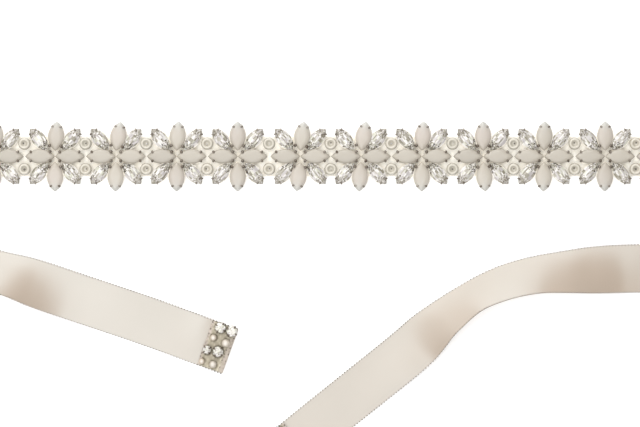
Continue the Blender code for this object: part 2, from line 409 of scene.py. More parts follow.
def tint_colour(nodes, links, shader, noise_scale=None, depth=0.0):
    """Colour the shader with the piece's tints, broken up a little by noise."""
    tint = nodes.new("ShaderNodeAttribute")
    tint.attribute_name = "tint"
    if noise_scale is None:
        links.new(tint.outputs["Color"], shader.inputs["Base Color"])
        return
    noise = add_noise(nodes, noise_scale)
    grey = add_ramp(nodes, links, noise.outputs["Fac"], (
        (0.3, (1 - depth, 1 - depth, 1 - depth)),
        (0.7, (1.0, 1.0, 1.0)),
    ))
    blend = nodes.new("ShaderNodeMix")
    blend.data_type = "RGBA"
    blend.blend_type = "MULTIPLY"
    blend.inputs["Factor"].default_value = 1.0
    links.new(tint.outputs["Color"], blend.inputs[6])
    links.new(grey, blend.inputs[7])
    links.new(blend.outputs[2], shader.inputs["Base Color"])


def satin_material():
    """Champagne satin: its long floats shine across the ribbon and dim where it slopes."""
    material, nodes, links, shader = node_tree("champagne_satin")
    place = nodes.new("ShaderNodeUVMap")
    place.uv_map = "places"
    cloud = add_noise(nodes, 0.03, 2.0, links, place.outputs["UV"])
    colour = add_ramp(nodes, links, cloud.outputs["Fac"], (
        (0.3, (0.400, 0.302, 0.222)),
        (0.7, (0.424, 0.322, 0.240)),
    ))
    links.new(colour, shader.inputs["Base Color"])
    set_sockets(shader, Roughness=0.5, IOR=2.2, Specular_IOR_Level=0.76, Anisotropic=0.78)
    set_sockets(shader, Specular_Tint=(0.73, 0.90, 0.96, 1.0))
    tangent = nodes.new("ShaderNodeTangent")
    tangent.direction_type = "UV_MAP"
    tangent.uv_map = "places"
    links.new(tangent.outputs["Tangent"], shader.inputs["Tangent"])
    ribs = nodes.new("ShaderNodeTexWave")
    ribs.bands_direction = "Y"
    ribs.inputs["Scale"].default_value = 0.9
    ribs.inputs["Distortion"].default_value = 0.6
    ribs.inputs["Detail"].default_value = 1.0
    links.new(place.outputs["UV"], ribs.inputs["Vector"])
    add_bump(nodes, links, shader, ribs.outputs["Fac"], 0.01, 0.2)
    return material


def tape_material():
    """Ivory tape with a plain weave."""
    material, nodes, links, shader = node_tree("ivory_tape")
    place = nodes.new("ShaderNodeUVMap")
    place.uv_map = "places"
    weave = nodes.new("ShaderNodeTexChecker")
    weave.inputs["Scale"].default_value = 2.2
    links.new(place.outputs["UV"], weave.inputs["Vector"])
    grain = add_noise(nodes, 0.6, 3.0, links, place.outputs["UV"])
    colour = add_ramp(nodes, links, grain.outputs["Fac"], (
        (0.3, (0.98, 0.93, 0.83)),
        (0.7, (0.99, 0.96, 0.90)),
    ))
    links.new(colour, shader.inputs["Base Color"])
    set_sockets(shader, Roughness=0.85, Sheen_Weight=0.2)
    add_bump(nodes, links, shader, weave.outputs["Fac"], 0.05, 0.4)
    return material


def plain_material(name, noise_scale=None, depth=0.0, **values):
    """A material in the piece's own tints, with the values on the shader's own sockets."""
    material, nodes, links, shader = node_tree(name)
    tint_colour(nodes, links, shader, noise_scale, depth)
    set_sockets(shader, **values)
    return material


def floor_material():
    """Plain white table."""
    material, _, _, shader = node_tree("table_white")
    set_sockets(shader, Base_Color=(0.9, 0.9, 0.9, 1.0), Roughness=0.9, Specular_IOR_Level=0.1)
    set_sockets(shader, Emission_Color=(1.0, 1.0, 1.0, 1.0), Emission_Strength=FLOOR_GLOW)
    return material


def stone_matrix(x, y, turn, base):
    """Place of a stone: its middle, its turn in degrees and the height of its base."""
    return Matrix.Translation((x, y, base)) @ Matrix.Rotation(math.radians(turn), 4, "Z")


def flower_stones(centre, lean):
    """Kind, cut, place and outward end of each stone of one flower."""
    stones = []
    for side in (1, -1):
        stones.append(("lying opal", ALONG_OPAL, (side * ALONG_REACH, 0.0), 0.0))
        for level in (1, -1):
            place = (side * CRYSTAL_REACH[0], level * CRYSTAL_REACH[1])
            stones.append(("navette", CRYSTAL, place, side * level * CRYSTAL_ANGLE))
    for level, degrees in ((1, lean.upper), (-1, lean.lower)):
        tilt = math.radians(degrees)
        x = ACROSS_OPAL.length / 2 * math.sin(tilt)
        y = level * (ACROSS_FOOT + ACROSS_OPAL.length / 2 * math.cos(tilt))
        stones.append(("standing opal", ACROSS_OPAL, (x, y), 90.0 - level * degrees))
    placed = []
    for index, (kind, cut, place, turn) in enumerate(stones):
        base = FLOWER_BASE + index * SOLDER_STEP
        angle = math.radians(turn)
        outward = math.copysign(1, place[0] * math.cos(angle) + place[1] * math.sin(angle))
        placed.append((kind, cut, stone_matrix(centre + place[0], place[1], turn, base), outward))
    return placed


# Rise of a stone or its setting: inset from the setting's outline and height over its base
Rise = namedtuple("Rise", "inset height")
OPAL_RISES = (
    Rise(0.2, 1.4),
    Rise(0.12, 2.3),
    Rise(0.35, 2.75),
    Rise(0.85, 3.12),
    Rise(1.5, 3.35),
    Rise(2.2, 3.5),
    Rise(3.0, 3.55),
)
STANDING_OPAL_INSET = 0.15
SETTING_RISES = (
    Rise(1.1, 0.0),
    Rise(0.6, 0.7),
    Rise(0.12, 1.6),
    Rise(0.0, 2.1),
    Rise(0.1, 2.3),
    Rise(0.3, 2.2),
    Rise(0.4, 1.3),
)
OPAL_STEPS = 14

# Linear colours of the stones and their metal, with painted light, shade and reflection among them as
# marked below
OPAL_BODY = (0.445, 0.413, 0.352)
OPAL_BLUSH = (0.463, 0.413, 0.366)
OPAL_LYING = (0.400, 0.366, 0.311)
OPAL_INNER_END = (0.405, 0.365, 0.302)
OPAL_OUTER_END = (0.460, 0.452, 0.420)
# Painted light: the inner half of each cup is painted near-white cream to lift the shade that falls between
# the stones
CUP_INNER_PAINTED_LIGHT = (0.97, 0.91, 0.79)
METAL_RIM = (0.85, 0.81, 0.73)
METAL_TIP = (0.82, 0.82, 0.77)
# Painted dark reflection: the round stones' cups and the claws are coloured dark for the dark surroundings
# that silver reflects
CHATON_CUP_PAINTED_DARK_REFLECTION = (0.26, 0.23, 0.18)
CLAW_PAINTED_DARK_REFLECTION = (0.17, 0.135, 0.105)
CLAW_PALE = (0.42, 0.38, 0.33)
# Facet colours of the cut stones: painted reflections and painted shade, from white glints to near-black
# facets, laid into the colour of clear glass
PAINTED_FACET_WHITE = (0.61, 0.585, 0.555)
PAINTED_FACET_PALE = (0.52, 0.51, 0.43)
PAINTED_FACET_LILAC = (0.44, 0.41, 0.40)
PAINTED_FACET_GREY = (0.33, 0.305, 0.255)
PAINTED_FACET_OLIVE = (0.22, 0.20, 0.15)
PAINTED_FACET_BROWN = (0.13, 0.105, 0.08)
PAINTED_FACET_BLACK = (0.02, 0.018, 0.015)
BELT_PAINTED_FACETS = (
    PAINTED_FACET_WHITE, PAINTED_FACET_WHITE, PAINTED_FACET_PALE, PAINTED_FACET_LILAC, PAINTED_FACET_LILAC, PAINTED_FACET_GREY, PAINTED_FACET_GREY, PAINTED_FACET_OLIVE,
)
INNER_END_PAINTED_FACETS = (
    PAINTED_FACET_BROWN, PAINTED_FACET_BROWN, PAINTED_FACET_OLIVE, PAINTED_FACET_OLIVE, PAINTED_FACET_GREY, PAINTED_FACET_GREY,
    PAINTED_FACET_BLACK, PAINTED_FACET_LILAC, PAINTED_FACET_PALE, PAINTED_FACET_WHITE,
)
OUTER_END_PAINTED_FACETS = (
    PAINTED_FACET_GREY, PAINTED_FACET_GREY, PAINTED_FACET_GREY, PAINTED_FACET_OLIVE, PAINTED_FACET_OLIVE,
    PAINTED_FACET_LILAC, PAINTED_FACET_LILAC, PAINTED_FACET_WHITE, PAINTED_FACET_BROWN,
)
CHATON_PAINTED_FACETS = (PAINTED_FACET_WHITE, PAINTED_FACET_WHITE, PAINTED_FACET_WHITE, PAINTED_FACET_PALE, PAINTED_FACET_PALE, PAINTED_FACET_LILAC, PAINTED_FACET_GREY)
CHATON_EDGE_PAINTED_FACETS = (PAINTED_FACET_PALE, PAINTED_FACET_WHITE, PAINTED_FACET_GREY, PAINTED_FACET_OLIVE, PAINTED_FACET_BROWN)


def add_opal(form, cut, matrix, outward, standing):
    """A smooth low dome with a bevelled shoulder, clearer at the outer end if it stands across."""
    outline = pointed_oval(cut, OPAL_STEPS)
    extra = STANDING_OPAL_INSET if standing else 0.0
    rings = [inset_ring(outline, rise.inset + extra, rise.height) for rise in OPAL_RISES]
    points, faces = loft(rings)
    body = mixed(OPAL_BODY, OPAL_BLUSH, draw.random()) if standing else OPAL_LYING
    depth = draw.uniform(0.95, 1.05)
    tints = []
    for x, _, _ in points:
        out = outward * x / (cut.length / 2)
        tint = mixed(body, OPAL_INNER_END, -out * 0.9 if standing else abs(out) * 0.4)
        if standing:
            tint = mixed(tint, OPAL_OUTER_END, (out - 0.35) / 0.5)
        tints.append(tuple(part * depth for part in tint))
    form.add(points, faces, matrix, tints)


def add_setting(form, cut, matrix, outline, outward):
    """The cup that holds a stone, with a rim round its girdle, palest at its outer point; its inner half is
    painted light to lift the shade that falls between the stones.
    """
    rings = [inset_ring(outline, rise.inset, rise.height) for rise in SETTING_RISES]
    points, faces = loft(rings)
    tints = []
    for face in faces:
        middle = sum(points[corner][0] for corner in face) / len(face)
        out = outward * middle / (cut.length / 2)
        inner_half_painted_light = mixed(CUP_INNER_PAINTED_LIGHT, METAL_RIM, out / 0.2 + 1)
        tints.append(inner_half_painted_light if out < 0 else mixed(METAL_RIM, METAL_TIP, (out - 0.5) / 0.3))
    form.add(points, faces, matrix, tints)


CLAW_SIDES = 7
CLAW_FLATTENING = 0.75
# Course of a claw up the side of its cup and over the stone: outward, height and thickness
ClawPoint = namedtuple("ClawPoint", "outward height share")
CLAW_COURSE = (
    ClawPoint(0.1, 0.8, 0.7),
    ClawPoint(0.3, 2.1, 0.85),
    ClawPoint(0.2, 2.8, 1.0),
    ClawPoint(-0.2, 3.2, 1.05),
    ClawPoint(-0.7, 3.28, 0.85),
    ClawPoint(-0.95, 3.2, 0.3),
)


def add_claw(form, matrix, x, y, outward, radius, tint):
    """One claw: a stubby bent finger with a rounded end."""
    direction = Vector((outward[0], outward[1], 0)).normalized()
    sideways = Vector((-direction.y, direction.x, 0))
    rings = []
    for index, point in enumerate(CLAW_COURSE):
        before = CLAW_COURSE[max(index - 1, 0)]
        after = CLAW_COURSE[min(index + 1, len(CLAW_COURSE) - 1)]
        heading = direction * (after.outward - before.outward)
        heading.z = after.height - before.height
        across = heading.normalized().cross(sideways)
        centre = Vector((x, y, point.height)) + direction * point.outward
        ring = []
        for x_part, y_part in circle(2 * radius * point.share, CLAW_SIDES):
            ring.append(centre + sideways * x_part + across * y_part * CLAW_FLATTENING)
        rings.append(ring)
    points, faces = loft(rings)
    form.add(points, faces, matrix, [tint] * len(faces))


# Two claws near a stone's point: share of the half length, offset from the outline, thickness
# and how pale they get. A crystal's inner point is held under the stones beside it.
ClawPair = namedtuple("ClawPair", "share offset radius paleness")
INNER_CLAWS = {
    "lying opal": ClawPair(0.68, 0.2, 0.74, 0.4),
    "standing opal": ClawPair(0.66, 0.35, 0.78, 0.4),
}
OUTER_CLAWS = {
    "lying opal": ClawPair(0.62, -0.1, 0.62, 0.6),
    "standing opal": ClawPair(0.64, -0.6, 0.52, 0.8),
    "navette": ClawPair(0.70, -0.2, 0.42, 1.0),
}


def add_oval_claws(form, kind, cut, matrix, outward):
    """The pairs of claws that hold a stone near its points."""
    half_length = cut.length / 2
    half_width = cut.width / 2
    radius = (half_length ** 2 + half_width ** 2) / (2 * half_width)
    for end in (1, -1):
        pair = (OUTER_CLAWS if end == outward else INNER_CLAWS).get(kind)
        if pair is None:
            continue
        x = pair.share * half_length
        y = math.sqrt(radius ** 2 - x ** 2) - radius + half_width + pair.offset
        away_x = end * x / radius
        away_y = 0.7 + y / radius
        for level in (1, -1):
            # Painted dark reflection, varied towards pale from claw to claw
            tint = mixed(CLAW_PAINTED_DARK_REFLECTION, CLAW_PALE, draw.uniform(0.0, pair.paleness))
            add_claw(form, matrix, end * x, level * y, (away_x, level * away_y), pair.radius, tint)


# A long stone's facets: shares of its half length where they meet and the strips across it
NAVETTE_STATIONS = (
    -0.95, -0.84, -0.73, -0.62, -0.50, -0.38, -0.26, 0.0, 0.26, 0.38, 0.50, 0.62, 0.73, 0.84, 0.95,
)
NAVETTE_STRIPS = 10
NAVETTE_BELT = (6, 7)
NAVETTE_INSET = 0.25
NAVETTE_GIRDLE = 2.2
NAVETTE_RISE = 1.0
NAVETTE_JITTER = 0.16
BELT_REACH = 0.26
GLINT_REACH = 0.42
GLINT_CHANCE = 0.4


def add_navette(form, cut, matrix, outward):
    """A long cut stone: a belt of long facets painted bright between two broken ends painted darker, as
    painted reflections and shade.
    """
    half_length = cut.length / 2
    half_width = cut.width / 2
    radius = (half_length ** 2 + half_width ** 2) / (2 * half_width)
    grid = []
    for station in NAVETTE_STATIONS:
        x = station * half_length
        reach = max(math.sqrt(radius ** 2 - x ** 2) - radius + half_width - NAVETTE_INSET, 0.25)
        row = []
        for strip in range(NAVETTE_STRIPS + 1):
            across = 2 * strip / NAVETTE_STRIPS - 1
            crown = (1 - abs(across) ** 1.6) * (1 - 0.55 * station ** 4)
            height = NAVETTE_GIRDLE + NAVETTE_RISE * crown
            inside = 0 < strip < NAVETTE_STRIPS
            jitter = NAVETTE_JITTER if inside else 0.0
            row.append((
                x + draw.uniform(-jitter, jitter),
                -across * reach + draw.uniform(-jitter, jitter) * 0.6,
                height + draw.uniform(-jitter, jitter),
            ))
        grid.append(row)
    points, faces = grid_solid(grid, NAVETTE_GIRDLE - 0.9, whole=NAVETTE_BELT)
    # Painted reflections and shade: bright facets across the belt, now and then a painted white glint
    # beside it, darker facets towards the ends
    tints = []
    for face in faces:
        middle = outward * sum(points[corner][0] for corner in face) / len(face) / half_length
        if abs(middle) < BELT_REACH:
            tints.append(draw.choice(BELT_PAINTED_FACETS))
        elif abs(middle) < GLINT_REACH and draw.random() < GLINT_CHANCE:
            tints.append(PAINTED_FACET_WHITE)
        else:
            tints.append(draw.choice(OUTER_END_PAINTED_FACETS if middle > 0 else INNER_END_PAINTED_FACETS))
    form.add(points, faces, matrix, tints)


# Facet rings of a round stone: spread, height over its base and how unevenly it is cut
FacetRing = namedtuple("FacetRing", "spread height unevenness")


def add_cut_stone(form, outline, matrix, rings):
    """A round stone cut in triangles between rings that are turned half a step from each other."""
    count = len(outline)
    points = [(x * 0.8, y * 0.8, rings[0].height - 0.9) for x, y in outline]
    for level, ring in enumerate(rings):
        for step in range(count):
            x, y = outline[step]
            if level % 2:
                after = outline[(step + 1) % count]
                x, y = (x + after[0]) / 2, (y + after[1]) / 2
            height = ring.height + draw.uniform(-1, 1) * ring.unevenness
            points.append((x * ring.spread, y * ring.spread, height))
    top = len(points)
    points.append((0.0, 0.0, rings[-1].height))
    faces = [tuple(reversed(range(count)))]
    faces += [(step, (step + 1) % count, count + (step + 1) % count, count + step) for step in range(count)]
    for level in range(len(rings) - 1):
        low = (level + 1) * count
        high = low + count
        for step in range(count):
            after = (step + 1) % count
            if level % 2:
                faces.append((low + step, low + after, high + after))
                faces.append((low + step, high + after, high + step))
            else:
                faces.append((low + step, low + after, high + step))
                faces.append((high + step, low + after, high + after))
    last = len(rings) * count
    faces += [(last + step, last + (step + 1) % count, top) for step in range(count)]
    # Painted reflections and shade: the base, sides and outermost crown facets take the darker colours, the
    # rest of the crown the brighter ones
    edge_count = 1 + 3 * count
    tints = [draw.choice(CHATON_EDGE_PAINTED_FACETS) for _ in faces[:edge_count]]
    tints += [draw.choice(CHATON_PAINTED_FACETS) for _ in faces[edge_count:]]
    depth = draw.uniform(0.9, 1.06)
    form.add(points, faces, matrix, [tuple(part * depth for part in tint) for tint in tints])


def build_flowers(materials):
    """All opals, crystals, cups and claws of the front."""
    opals = Form("POINT")
    crystals = Form()
    settings = Form()
    claws = Form()
    nodes = [f"flower_{index:02d}" for index in range(1, len(FLOWER_LEANS) + 1)]
    for node, lean in zip(nodes, FLOWER_LEANS):
        low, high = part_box(node)
        centre = (low[0] + high[0]) / 2 / MM
        for kind, cut, matrix, outward in flower_stones(centre, lean):
            add_setting(settings, cut, matrix, pointed_oval(cut, OPAL_STEPS), outward)
            add_oval_claws(claws, kind, cut, matrix, outward)
            if kind == "navette":
                add_navette(crystals, cut, matrix, outward)
            else:
                add_opal(opals, cut, matrix, outward, standing=kind == "standing opal")
    pieces = (
        (opals.piece("flower_opals", materials["opal"], 50), "opal_and_crystal"),
        (crystals.piece("flower_crystals", materials["crystal"], 0), "opal_and_crystal"),
        (settings.piece("flower_settings", materials["cup"], 40), "silver_setting"),
        (claws.piece("flower_claws", materials["silver"], 60), "silver_setting"),
    )
    for piece, slot in pieces:
        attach(piece, "root")
        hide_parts(*nodes)


PEARL_STEPS = 24
# Profile of a pearl button, as shares of its radius and height, with how bright each band is: a painted
# highlight over the top and painted shade at the rim
Band = namedtuple("Band", "radius height share")
PEARL_BANDS = (
    Band(0.35, 0.0, 0.2),
    Band(0.8, 0.12, 0.2),
    Band(0.98, 0.36, 0.1),
    Band(1.0, 0.52, 0.0),
    Band(0.93, 0.76, 0.2),
    Band(0.8, 0.92, 0.8),
    Band(0.66, 0.97, 1.0),
    Band(0.5, 0.9, 0.5),
    Band(0.36, 0.76, 0.4),
    Band(0.2, 0.66, 0.8),
)
# The rim colours are painted shade at the pearls' sides over their grey or cream tone, and the light
# colours a painted highlight on top
PEARL_RIM_SHADE = (0.35, 0.335, 0.275)
PEARL_TOP_HIGHLIGHT = (0.57, 0.53, 0.455)
CREAM_RIM_SHADE = (0.47, 0.38, 0.28)
GREY_RIM_SHADE = (0.40, 0.37, 0.32)
CREAM_TOP_HIGHLIGHT = (0.62, 0.58, 0.52)
SEED_BEAD_RADIUS = (0.35, 0.6)
SEED_BEAD_DARK = (0.20, 0.18, 0.16)
SEED_BEAD_PALE = (0.60, 0.58, 0.55)


def add_button(form, matrix, diameter, height, bands, rim, light):
    """A turned bead with a profile of bands, each coloured between painted rim shade and a painted
    highlight.
    """
    rings = []
    for band in bands:
        rings.append(level_ring(circle(diameter, PEARL_STEPS), band.radius, band.height * height))
    points, faces = loft(rings)
    tints = []
    for band in bands:
        tints += [mixed(rim, light, band.share)] * PEARL_STEPS
    form.add(points, faces, matrix, tints)


def add_bead(form, matrix, radius, squash, tint, steps=10):
    """A small round bead."""
    rings = []
    for level in range(1, 6):
        turn = math.pi * level / 6
        ring_radius = radius * math.sin(turn)
        height = -radius * squash * math.cos(turn)
        rings.append([(x, y, height) for x, y in circle(2 * ring_radius, steps)])
    points, faces = loft(rings)
    form.add(points, faces, matrix, [tint] * len(faces))


def node_place(node):
    """Middle, base height, width and height of a round CAD node in mm."""
    low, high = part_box(node)
    x = (low[0] + high[0]) / 2 / MM
    y = (low[1] + high[1]) / 2 / MM
    diameter = max(high[0] - low[0], high[1] - low[1]) / MM
    return x, y, low[2] / MM, diameter, (high[2] - low[2]) / MM


def build_pearls(materials):
    """The pearl buttons of the front, each held down by a small bead."""
    pearls = Form("POINT")
    beads = Form()
    nodes = [name for name in sorted(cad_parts) if name.startswith("pearl_")]
    for node in nodes:
        x, y, base, diameter, height = node_place(node)
        turn = draw.uniform(0, 360)
        dim = draw.uniform(0.0, 0.25)
        # Painted rim shade with some cream tone, and a painted highlight dimmed a little from pearl to
        # pearl
        rim = mixed(PEARL_RIM_SHADE, CREAM_RIM_SHADE, draw.uniform(0.0, 0.4))
        light = mixed(PEARL_TOP_HIGHLIGHT, PEARL_RIM_SHADE, dim)
        add_button(pearls, stone_matrix(x, y, turn, base), diameter, height, PEARL_BANDS, rim, light)
        shift = (draw.uniform(-0.5, 0.5), draw.uniform(-0.5, 0.5))
        radius = draw.uniform(*SEED_BEAD_RADIUS)
        place = stone_matrix(x + shift[0], y + shift[1], turn, base + height * 0.66 + radius * 0.5)
        add_bead(beads, place, radius, 0.8, draw.choice((SEED_BEAD_DARK, SEED_BEAD_DARK, SEED_BEAD_PALE)))
    pearl_piece = pearls.piece("front_pearls", materials["pearl"], 60)
    bead_piece = beads.piece("front_seed_beads", materials["silver"])
    for piece, slot in ((pearl_piece, "pearl"), (bead_piece, "silver_setting")):
        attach(piece, "root")
    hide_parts(*nodes)


TAPE_TOP = 1.0
TAPE_SINK = 0.35
TAPE_THICKNESS = 0.5
TAPE_COLUMNS = 14
TAPE_SPACING = 3.0
TAPE_DIP = 0.12
TAPE_WAVE = (0.39, 7.0)


def build_tape(materials):
    """The tape under the front, a thin cloth that dips a little between its stitches."""
    low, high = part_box("backing_tape")
    length = (high[0] - low[0]) / MM
    width = (high[1] - low[1]) / MM
    rows = round(length / TAPE_SPACING)
    form = Form()
    points = []
    places = []
    for row in range(rows + 1):
        x = low[0] / MM + length * row / rows
        for column in range(TAPE_COLUMNS + 1):
            across = column / TAPE_COLUMNS - 0.5
            dip = TAPE_DIP * math.sin(x * TAPE_WAVE[0]) * math.cos(across * TAPE_WAVE[1])
            points.append((x, across * width, TAPE_TOP - TAPE_SINK + dip))
            places.append((x, across * width))
    faces = []
    for row in range(rows):
        for column in range(TAPE_COLUMNS):
            first = row * (TAPE_COLUMNS + 1) + column
            faces.append((first, first + TAPE_COLUMNS + 1, first + TAPE_COLUMNS + 2, first + 1))
    form.add(points, faces, places=places)
    tape = form.piece("tape_cloth", materials["tape"])
    thicken(tape, TAPE_THICKNESS)
    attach(tape, "root")
    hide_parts("backing_tape")


def smooth_slopes(places, values, level_at_peaks):
    """Slopes of a smooth curve through the values, level at each end of a bank's rise or fall."""
    steps = [after - before for before, after in zip(places, places[1:])]
    climbs = [(after - before) / step for before, after, step in zip(values, values[1:], steps)]
    slopes = [climbs[0]]
    for index in range(1, len(climbs)):
        before, after = climbs[index - 1], climbs[index]
        if level_at_peaks:
            slope = 2 * before * after / (before + after) if before * after > 0 else 0.0
        else:
            share = steps[index] / (steps[index - 1] + steps[index])
            slope = share * before + (1 - share) * after
        slopes.append(slope)
    slopes.append(climbs[-1])
    return slopes


def value_on_curve(place, places, values, slopes):
    """Value of the cubic that leaves each row with its slope."""
    index = next(i for i in range(1, len(places)) if place <= places[i] or i == len(places) - 1)
    step = places[index] - places[index - 1]
    t = (place - places[index - 1]) / step
    start = (1 + 2 * t) * (1 - t) ** 2 * values[index - 1] + t * (1 - t) ** 2 * step * slopes[index - 1]
    end = t * t * (3 - 2 * t) * values[index] - t * t * (1 - t) * step * slopes[index]
    return start + end


Section = namedtuple("Section", "along from_tip centre outward normal heading creases")


def ribbon_sections(course, side, creases):
    """Sections of a tie: where each is, the way to its outer edge, its normal and heading."""
    places = [0.0]
    for before, after in zip(course, course[1:]):
        places.append(places[-1] + math.hypot(after.out - before.out, after.down - before.down))
    columns = []
    for name in Course._fields:
        values = [getattr(row, name) for row in course]
        columns.append((values, smooth_slopes(places, values, level_at_peaks=name == "bank")))
    count = round(places[-1] / SECTION_SPACING)
    stations = []
    for step in range(count + 1):
        place = places[-1] * step / count
        stations.append([value_on_curve(place, places, *column) for column in columns])
    sections = []
    along = 0.0
    for index, (out, down, bank) in enumerate(stations):
        before = stations[max(index - 1, 0)]
        after = stations[min(index + 1, count)]
        heading = Vector((side * (after[0] - before[0]), before[1] - after[1], 0)).normalized()
        tilt = math.radians(max(bank, 0.0))
        level = RIBBON_WIDTH / 2 * math.sin(tilt) + CAD_WALL / 2 * math.cos(tilt)
        flat_outward = Vector((-heading.y, heading.x, 0)) * side
        outward = flat_outward * math.cos(tilt)
        outward.z = math.sin(tilt)
        normal = flat_outward * -math.sin(tilt)
        normal.z = math.cos(tilt)
        centre = Vector((side * out, -down, level))
        if sections:
            along += (centre - sections[-1].centre).length
        sections.append(Section(along, 0.0, centre, outward, normal, heading, creases))
    return [section._replace(from_tip=along - section.along) for section in sections]


def crease_offset(section, across):
    """How far the soft ridges and troughs carry a place on a tie."""
    offset = Vector()
    for crease in section.creases:
        along = (section.from_tip - crease.from_tip) / crease.half_length
        aside = (across - crease.across) / crease.half_width
        direction = section.normal if crease.leaning else Vector((0, 0, 1))
        offset += direction * (crease.height * math.exp(-along ** 2 - aside ** 2))
    return offset


def ribbon_point(section, across, lift=0.0):
    """Point on a tie's middle surface, from -1 at its inner edge to 1 at its outer edge."""
    point = section.centre + section.outward * (across * RIBBON_WIDTH / 2)
    return point + section.normal * (lift - SATIN_DROP) + crease_offset(section, across)


def build_tie(label, sections, materials):
    """The satin of one tie and the thread loops along both of its edges."""
    satin = Form()
    points = []
    places = []
    for section in sections:
        for column in range(RIBBON_COLUMNS + 1):
            across = 2 * column / RIBBON_COLUMNS - 1
            points.append(ribbon_point(section, across))
            places.append((across * RIBBON_WIDTH / 2, section.along))
    faces = []
    side = 1 if label == "right" else -1
    for row in range(len(sections) - 1):
        for column in range(RIBBON_COLUMNS):
            first = row * (RIBBON_COLUMNS + 1) + column
            face = (first, first + 1, first + RIBBON_COLUMNS + 2, first + RIBBON_COLUMNS + 1)
            faces.append(face if side < 0 else tuple(reversed(face)))
    satin.add(points, faces, places=places)
    tie = satin.piece(f"satin_tie_{label}", materials["satin"])
    thicken(tie, SATIN_THICKNESS)

    loops = Form()
    length = sections[-1].along
    count = int(length / LOOP_PITCH)
    for edge in (-1, 1):
        index = 1
        for step in range(count):
            along = (step + 0.5) * LOOP_PITCH
            while sections[index].along < along:
                index += 1
            before, section = sections[index - 1], sections[index]
            forward = (section.centre - before.centre).normalized()
            share = (along - before.along) / (section.along - before.along)
            start = ribbon_point(before, edge * LOOP_PLACE, LOOP_LIFT)
            centre = start.lerp(ribbon_point(section, edge * LOOP_PLACE, LOOP_LIFT), share)
            centre.z = max(centre.z, LOOP_RADIUS)
            facing = Matrix((forward, section.outward, section.normal)).transposed().to_4x4()
            slant = Matrix.Rotation(math.radians(LOOP_SLANT * edge), 4, "Z")
            matrix = Matrix.Translation(centre) @ facing @ slant
            # Painted shade: the loops lean to the dark colour so the gaps along the edge read dark
            add_loop(loops, matrix, mixed(LOOP_DARK_THREAD_AND_SHADE, LOOP_PALE, draw.uniform(0.0, 0.5)))
    edging = loops.piece(f"selvedge_loops_{label}", materials["thread"])
    for piece in (tie, edging):
        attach(piece, "root")
    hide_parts(f"ribbon_tie_{label}")
    return tie, edging, length


def add_loop(form, matrix, tint):
    """One thread loop of the selvedge: a short spindle along the edge."""
    rings = []
    for share, radius in LOOP_PROFILE:
        round_ring = circle(2 * radius * LOOP_RADIUS, LOOP_SIDES)
        rings.append([(share * LOOP_LENGTH, y, z) for y, z in round_ring])
    points, faces = loft(rings)
    form.add(points, faces, matrix, [tint] * len(faces))


CHATON_STEPS = 12
CHATON_SETTING_STEPS = 20
CHATON_RINGS = (
    FacetRing(0.97, 2.0, 0.0),
    FacetRing(0.86, 2.32, 0.05),
    FacetRing(0.62, 2.5, 0.12),
    FacetRing(0.34, 2.62, 0.1),
)
CHATON_SETTING_RISES = (
    Rise(0.7, 0.0),
    Rise(0.3, 0.4),
    Rise(0.0, 1.3),
    Rise(0.05, 1.6),
    Rise(0.2, 1.4),
)
CHATON_CLAW_DROP = 0.8
CHATON_CLAW_INSET = 0.15
CHATON_CLAW_RADIUS = 0.42
# Bands of the tip pearls: painted shade down the sides and a painted highlight on top
TIP_PEARL_BANDS = (
    Band(0.3, 0.0, 0.0),
    Band(0.75, 0.14, 0.0),
    Band(0.98, 0.34, 0.0),
    Band(0.98, 0.56, 0.0),
    Band(0.90, 0.76, 0.0),
    Band(0.74, 0.89, 0.1),
    Band(0.48, 0.97, 0.6),
    Band(0.16, 1.0, 1.0),
)


